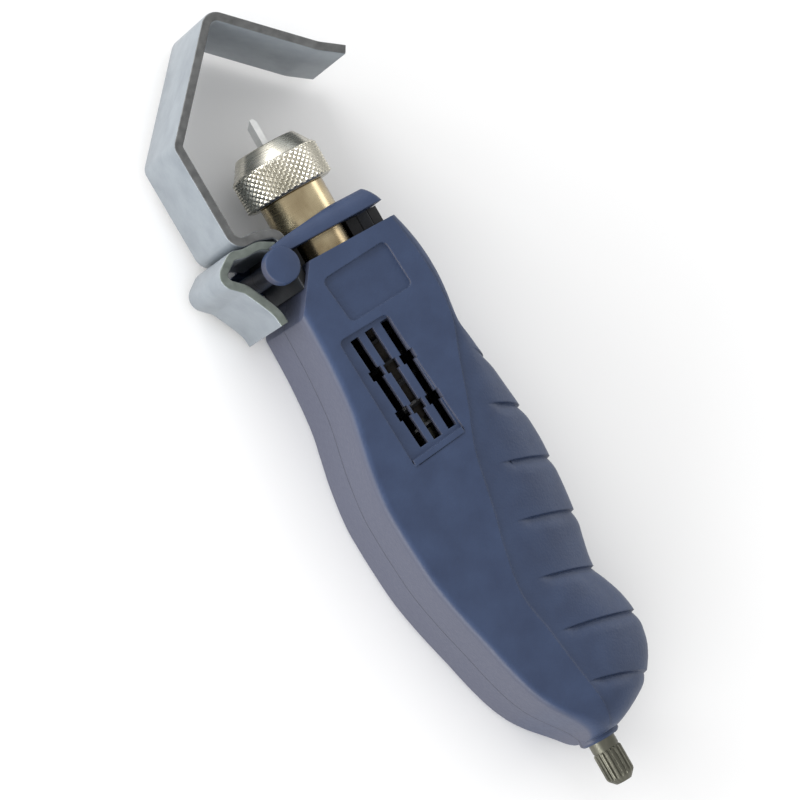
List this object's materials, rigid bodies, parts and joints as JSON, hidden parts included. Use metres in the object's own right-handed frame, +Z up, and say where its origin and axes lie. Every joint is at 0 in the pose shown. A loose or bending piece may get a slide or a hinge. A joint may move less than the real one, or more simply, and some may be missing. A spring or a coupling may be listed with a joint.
{
  "type": "cable stripper",
  "caption": "Round cable stripper with a moulded grip, a spring-closed steel hook over a rotatable blade in a knurled cap, and a blade depth screw.",
  "frame": {"origin": "on the flat back face of the handle, below the spindle axis, where the handle is widest", "axes": "+Y along the spindle axis towards the hook, +Z up out of the front face, +X towards the grip side"},
  "size_m": [0.0382, 0.1366, 0.0195],
  "materials": {
    "handle_plastic": "fine moulded texture, satin",
    "fork_plastic": "satin",
    "hook_steel": "pale coated spring steel, satin",
    "spring_steel": "drawn wire",
    "zinc_steel": "yellow zinc plate, turned",
    "nickel": "nickel plate, knurled and turned",
    "blade_steel": "ground",
    "carrier_steel": "turned",
    "dark_steel": "dark plated",
    "bronze": "sintered bearing metal",
    "screw_steel": "zinc plate",
    "ball_steel": "polished"
  },
  "bodies": {
    "handle": {"front_shell": "handle_plastic", "back_shell": "handle_plastic", "nose_bar": "handle_plastic", "retaining_fork": "fork_plastic", "rear_bushing": "bronze", "thrust_washer": "screw_steel", "detent_ball": "ball_steel", "detent_spring": "spring_steel", "hook_spring": "spring_steel", "shell_screw_1": "screw_steel", "shell_screw_2": "screw_steel", "shell_screw_3": "screw_steel", "shell_screw_4": "screw_steel"},
    "hook_slide_body": {"hook": "hook_steel", "thumb_lug": "hook_steel"},
    "spindle_body": {"spindle": "zinc_steel", "knurled_cap": "nickel", "guide_pin": "screw_steel"},
    "blade_body": {"blade": "blade_steel", "blade_carrier": "carrier_steel", "blade_grub_screw": "dark_steel"},
    "depth_screw_body": {"depth_screw": "dark_steel", "retaining_ring": "dark_steel"}
  },
  "joints": [
    {"name": "hook_slide", "type": "slide", "parent": "handle", "child": "hook_slide_body", "axis": [0, 1, 0], "range_m": [0, 0.014], "stiffness_N_per_m": 150, "springref_m": -0.02, "deforming": ["hook_spring"]},
    {"name": "spindle_turn", "type": "hinge", "parent": "handle", "child": "spindle_body", "pos_m": [0, 0.04, 0.0095], "axis": [0, 1, 0], "range_deg": [0, 90]},
    {"name": "depth_screw_turn", "type": "hinge", "parent": "handle", "child": "depth_screw_body", "pos_m": [0, -0.04, 0.0095], "axis": [0, 1, 0], "range_deg": [-1890, 360]},
    {"name": "blade_depth", "type": "slide", "parent": "spindle_body", "child": "blade_body", "axis": [0, 1, 0], "range_m": [-0.0042, 0.0008]}
  ],
  "couplings": [
    {"joint": "depth_screw_turn", "follows": "blade_depth", "rad_per_m": 7854}
  ]
}
